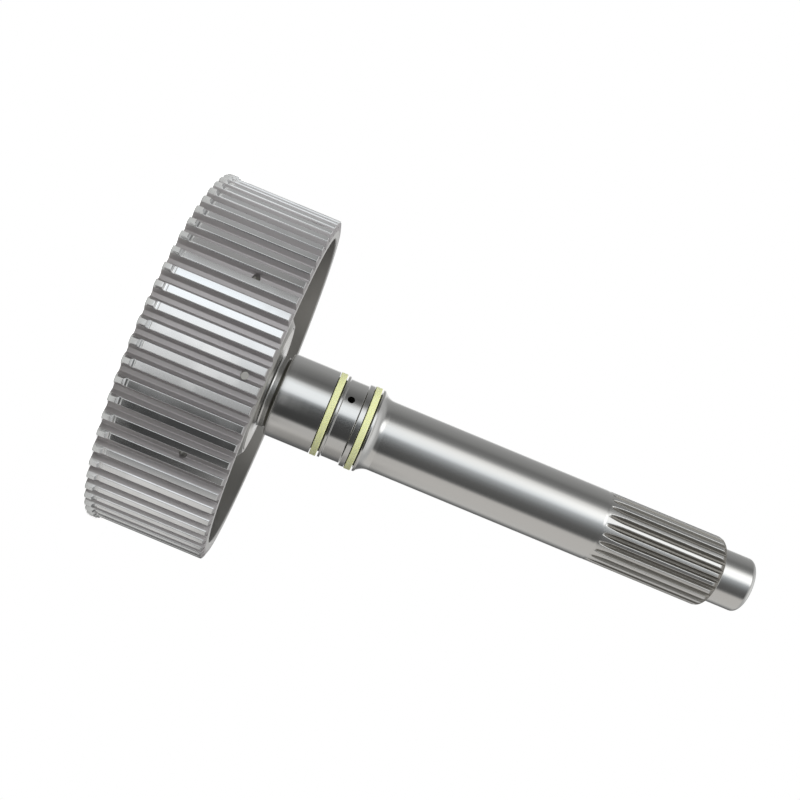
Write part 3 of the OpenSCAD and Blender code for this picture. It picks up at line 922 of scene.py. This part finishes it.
shaft_drills = [
    radial_drill(0, JOURNAL_R + 2, 83, RECESS_OIL + side, 1.6) for side in (0, math.pi)
]
shaft_drills += [radial_drill(0, 23.5, 36.3, side, 1.6) for side in (0, math.pi)]
shaft_blank = new_mesh("ground_shaft_blank", *joined_rings(shaft_rings()))
shaft_mesh = drilled(shaft_blank, shaft_drills)
shaft = finished(shaft_mesh, "ground_shaft", shaft_steel, "shaft", ["turbine_shaft"], 70)

# %% [markdown]
# ## The sealing rings
# Each ring is a slit band with a rectangular section and softened edges. A slanted cut lets it spring open over
# the shaft. So it is a profile carried round the axis from one side of the cut to the other, with an end face on
# either side. Along the cut, a point's angle moves with its height by tan(50 degrees) height / radius.

# %% Sealing rings
RING_OUT, RING_IN, RING_W, RING_LOW = JOURNAL_R + 0.15, GROOVE_R + 0.2, 2.85, 0.35
CUT_HALF, CUT_SLANT = 0.2 / math.cos(math.radians(50)), math.tan(math.radians(50))


def sealing_ring(name, groove_z, node, body):
    """A closed profile of rounded corners carried through angles from cut to cut, sheared by the slant."""
    low, high = groove_z + RING_LOW, groove_z + RING_LOW + RING_W
    profile = rounded(
        [
            (RING_IN, (low + high) / 2),
            (RING_IN, low, 0.1),
            (RING_OUT, low, 0.22),
            (RING_OUT, high, 0.22),
            (RING_IN, high, 0.1),
            (RING_IN, (low + high) / 2),
        ]
    )[:-1]
    r, z = profile[:, 0], profile[:, 1]
    mid = np.mean([low, high])
    turn = np.linspace(0, 1, 181)[:, None]
    gap = CUT_HALF / RING_OUT
    angle = np.pi / 2 - CUT_SLANT * (z - mid) / RING_OUT + gap + turn * (2 * np.pi - 2 * gap)
    grid = ring_points(r, z, angle)
    first, last = grid[0].mean(axis=0)[None], grid[-1].mean(axis=0)[None]
    mesh = new_mesh(name, *joined_rings([first, *grid, last]))
    return finished(mesh, name, ring_polymer, body, [node], 50)


rear_ring = sealing_ring("rear_seal", REAR_GROOVE, "rear_sealing_ring", "rear_ring")
front_ring = sealing_ring("front_seal", FRONT_GROOVE, "front_sealing_ring", "front_ring")

# %% [markdown]
# ## The floor
# The part stands on a small round board, painted a pale matt white. For the camera it also glows a little, so
# that it merges with the white behind it, while the part's soft shadow still shows on it.

# %% Floor
FLOOR_R = 96.0


def board():
    """A disc on the plane z = 0: rings of growing radius round a pole, all facing up."""
    radii = np.concatenate([[0.5], np.linspace(20, FLOOR_R, 8)])
    rings = [np.zeros((1, 3))] + turned_rings([(r, 0) for r in radii], 96)
    points, faces = joined_rings(rings)
    mesh = bpy.data.meshes.new("painted_board")
    mesh.from_pydata((points * MM).tolist(), [], faces)
    if mesh.polygons[0].normal.z < 0:
        mesh.flip_normals()
    return mesh


def matt_white_paint():
    """Pale diffuse paint, with an even glow that only camera rays see."""
    material, tree, shader = new_material("matt_white_paint")
    shader.inputs["Base Color"].default_value = linear("#E8E8E6")
    shader.inputs["Roughness"].default_value = 0.9
    glow = add(tree, "ShaderNodeEmission", values={"Strength": 0.55})
    path = add(tree, "ShaderNodeLightPath")
    none = add(tree, "ShaderNodeEmission", values={"Strength": 0.0})
    shown = add(
        tree,
        "ShaderNodeMixShader",
        links={0: path.outputs["Is Camera Ray"], 1: none.outputs[0], 2: glow.outputs[0]},
    )
    both = add(tree, "ShaderNodeAddShader", links={0: shader.outputs[0], 1: shown.outputs[0]})
    output = next(n for n in tree.nodes if n.type == "OUTPUT_MATERIAL")
    tree.links.new(both.outputs[0], output.inputs["Surface"])
    return material


floor = bpy.data.objects.new("painted_board", board())
floor.data.materials.append(matt_white_paint())
floor.location.z = -0.02 * MM
bpy.context.scene.collection.objects.link(floor)

# %% [markdown]
# ## The studio
# Polished round metal shows its surroundings as bands along its length, so the surroundings make the picture.
# On a round surface, a point that faces an angle a away from the camera mirrors what lies at 2 a. Read that way,
# the photograph's bands say what stood round the shaft: a large bright window half to the left, a dark gap
# beside it, and a paler wall to the right. The sky below is that room, written as brightness against the
# direction's angle round Z, in three layers: high, level with the shaft, and below it. A soft glow in the
# window gives the spot on the shaft's fillet, and a pale ceiling lights what faces up.
# The camera sees plain white, and so does metal where it mirrors what is behind the part.

# %% Studio
HIGH_BANDS = [
    (-180, 1.0, 0), (-160, 0.95, 0), (-152, 0.52, 0), (-116, 0.4, 0), (-98, 0.34, 0), (-80, 0.22, 0),
    (-66, 0.28, 0), (-58, 0.5, 0), (-48, 1.2, 0.01), (-38, 1.4, 0), (-25, 1.38, -0.02), (-16, 1.2, -0.04),
    (-6, 0.62, -0.04), (2, 0.44, -0.04), (12, 0.26, -0.03), (24, 0.16, 0), (44, 0.12, 0), (50, 0.2, 0),
    (58, 0.72, 0.03), (90, 0.72, 0.03), (122, 0.72, 0.02), (136, 0.4, 0), (146, 0.2, 0), (180, 0.12, 0),
]
LEVEL_BANDS = [
    (-180, 1.0, 0), (-160, 0.95, 0), (-152, 0.52, 0), (-116, 0.42, 0), (-95, 0.29, 0), (-72, 0.17, 0),
    (-62, 0.22, 0), (-56, 0.33, 0), (-47, 1.0, -0.01), (-38, 1.38, -0.03), (-25, 1.42, -0.03), (-16, 1.22, -0.04),
    (-9, 0.45, -0.05), (-2, 0.17, -0.05), (12, 0.08, -0.02), (46, 0.07, 0), (52, 0.12, 0), (60, 0.68, 0.02),
    (86, 0.66, 0.03), (100, 0.45, 0.03), (120, 0.36, 0.03), (134, 0.22, 0), (150, 0.14, 0), (180, 0.1, 0),
]
LOW_BANDS = [
    (-180, 1.0, 0), (-158, 0.9, 0), (-152, 0.55, 0), (-100, 0.55, 0), (-62, 0.42, 0.02), (-54, 0.7, 0),
    (-50, 1.5, -0.04), (-38, 1.7, -0.04), (-25, 1.45, -0.02), (-8, 1.4, 0), (10, 1.15, 0), (20, 0.75, 0),
    (27, 0.2, 0), (34, 0.08, 0), (71, 0.05, 0), (78, 0.6, 0), (85, 0.95, 0.02), (105, 0.95, 0.02),
    (128, 0.88, 0.02), (152, 0.6, 0), (160, 0.3, 0), (180, 0.3, 0),
]
GLOW_AZIMUTH, GLOW_HEIGHT = math.radians(-30), math.radians(30)
GLOW_TOWARD = (
    math.sin(GLOW_AZIMUTH) * math.cos(GLOW_HEIGHT),
    -math.cos(GLOW_AZIMUTH) * math.cos(GLOW_HEIGHT),
    math.sin(GLOW_HEIGHT),
)
BAND_SCALE = 2.0


def bands(table):
    """Colour ramp stops from (degrees, brightness, warmth): the angle goes to 0 to 1, the brightness is halved so that it stays under 1, and warmth adds that share of red and takes it from blue."""
    return [
        ((a + 180) / 360, (b * (1 + w) / BAND_SCALE, b / BAND_SCALE, b * (1 - w) / BAND_SCALE, 1))
        for a, b, w in table
    ]


def studio():
    """The world: three band tables by azimuth atan2(x, -y), mixed by how high the direction points, with an even grey overhead and a soft glow. Camera rays see plain white, and so do glossy and transmission rays that go to the backdrop behind the part."""
    world = bpy.data.worlds.new("studio")
    world.use_nodes = True
    tree = world.node_tree
    tree.nodes.clear()
    toward = add(tree, "ShaderNodeTexCoord").outputs["Generated"]
    axis = add(tree, "ShaderNodeSeparateXYZ", links={"Vector": toward})
    to_front = add(tree, "ShaderNodeMath", {"operation": "MULTIPLY"}, {1: -1.0}, {0: axis.outputs["Y"]})
    azimuth = add(tree, "ShaderNodeMath", {"operation": "ARCTAN2"}, links={0: axis.outputs["X"], 1: to_front.outputs[0]})
    turn = add(
        tree, "ShaderNodeMapRange",
        values={"From Min": -math.pi, "From Max": math.pi}, links={"Value": azimuth.outputs[0]},
    )
    high, level, low = (
        add(tree, "ShaderNodeValToRGB", {"stops": bands(table)}, links={"Fac": turn.outputs["Result"]})
        for table in (HIGH_BANDS, LEVEL_BANDS, LOW_BANDS)
    )
    down = add(
        tree, "ShaderNodeMapRange", {"interpolation_type": "SMOOTHSTEP"},
        values={"From Min": -math.sin(math.radians(3.2)), "From Max": -math.sin(math.radians(3.8))},
        links={"Value": axis.outputs["Z"]},
    )
    up = add(
        tree, "ShaderNodeMapRange", {"interpolation_type": "SMOOTHSTEP"},
        values={"From Min": math.sin(math.radians(1.5)), "From Max": math.sin(math.radians(4))},
        links={"Value": axis.outputs["Z"]},
    )
    around = mixed(tree, up.outputs["Result"], level.outputs["Color"], high.outputs["Color"])
    around = mixed(tree, down.outputs["Result"], around, low.outputs["Color"])
    above = add(
        tree, "ShaderNodeMapRange", {"interpolation_type": "SMOOTHSTEP"},
        values={"From Min": math.sin(math.radians(28)), "From Max": math.sin(math.radians(46))},
        links={"Value": axis.outputs["Z"]},
    )
    ceiling = add(
        tree, "ShaderNodeMapRange", {"interpolation_type": "SMOOTHSTEP"},
        values={"From Min": math.sin(math.radians(50)), "From Max": 1.0}, links={"Value": axis.outputs["Z"]},
    )
    overhead = mixed(tree, ceiling.outputs["Result"], "#949494", "#BDBDBD")
    room = mixed(tree, above.outputs["Result"], around, overhead)
    facing = add(
        tree, "ShaderNodeVectorMath", {"operation": "DOT_PRODUCT"}, values={1: GLOW_TOWARD}, links={0: toward}
    )
    glow = add(
        tree, "ShaderNodeMapRange", {"interpolation_type": "SMOOTHSTEP"},
        values={"From Min": math.cos(math.radians(22)), "From Max": 1.0}, links={"Value": facing.outputs["Value"]},
    )
    room = mixed(tree, glow.outputs["Result"], room, "#FFFFFF")
    lit = add(tree, "ShaderNodeBackground", values={"Strength": BAND_SCALE}, links={"Color": room})
    white = add(tree, "ShaderNodeBackground", values={"Color": (1, 1, 1, 1), "Strength": 1.0})
    aside = add(tree, "ShaderNodeMath", {"operation": "ABSOLUTE"}, links={0: azimuth.outputs[0]})
    behind = add(
        tree, "ShaderNodeMapRange", {"interpolation_type": "SMOOTHSTEP"},
        values={"From Min": math.radians(164), "From Max": math.radians(172)}, links={"Value": aside.outputs[0]},
    )
    below = add(tree, "ShaderNodeMath", {"operation": "SUBTRACT"}, {0: 1.0}, {1: above.outputs["Result"]})
    backdrop = add(
        tree, "ShaderNodeMath", {"operation": "MULTIPLY"}, links={0: behind.outputs["Result"], 1: below.outputs[0]}
    )
    path = add(tree, "ShaderNodeLightPath")
    mirrored = add(
        tree, "ShaderNodeMath", {"operation": "MAXIMUM"},
        links={0: path.outputs["Is Glossy Ray"], 1: path.outputs["Is Transmission Ray"]},
    )
    mirrored = add(
        tree, "ShaderNodeMath", {"operation": "MULTIPLY"}, links={0: mirrored.outputs[0], 1: backdrop.outputs[0]}
    )
    seen = add(
        tree, "ShaderNodeMath", {"operation": "MAXIMUM"},
        links={0: path.outputs["Is Camera Ray"], 1: mirrored.outputs[0]},
    )
    shown = add(
        tree, "ShaderNodeMixShader", links={0: seen.outputs[0], 1: lit.outputs[0], 2: white.outputs[0]}
    )
    add(tree, "ShaderNodeOutputWorld", links={"Surface": shown.outputs[0]})
    bpy.context.scene.world = world


studio()
print(len(HIGH_BANDS), len(LEVEL_BANDS), "and", len(LOW_BANDS), "bands")

# %% [markdown]
# ## Lamps
# The room alone would leave matt surfaces dim, so one large soft lamp over the window brings them to the level at
# which a colour looks as it is written.


# %% Lamps
def soft_lamp(name, place, size, watts):
    """A square area lamp at a place in metres that looks at the middle of the shaft. The metal mirrors the room, not the lamp."""
    data = bpy.data.lights.new(name, "AREA")
    data.size, data.energy = size, watts
    lamp = bpy.data.objects.new(name, data)
    lamp.location = place
    aim = Matrix.Translation((0, 0, 0.1)).to_translation() - lamp.location
    lamp.rotation_euler = aim.to_track_quat("-Z", "Y").to_euler()
    lamp.visible_glossy = False
    bpy.context.scene.collection.objects.link(lamp)


soft_lamp("lamp_front_above", (-0.6, -1.2, 1.1), 1.2, 24)
bpy.context.scene.view_settings.view_transform = "Standard"
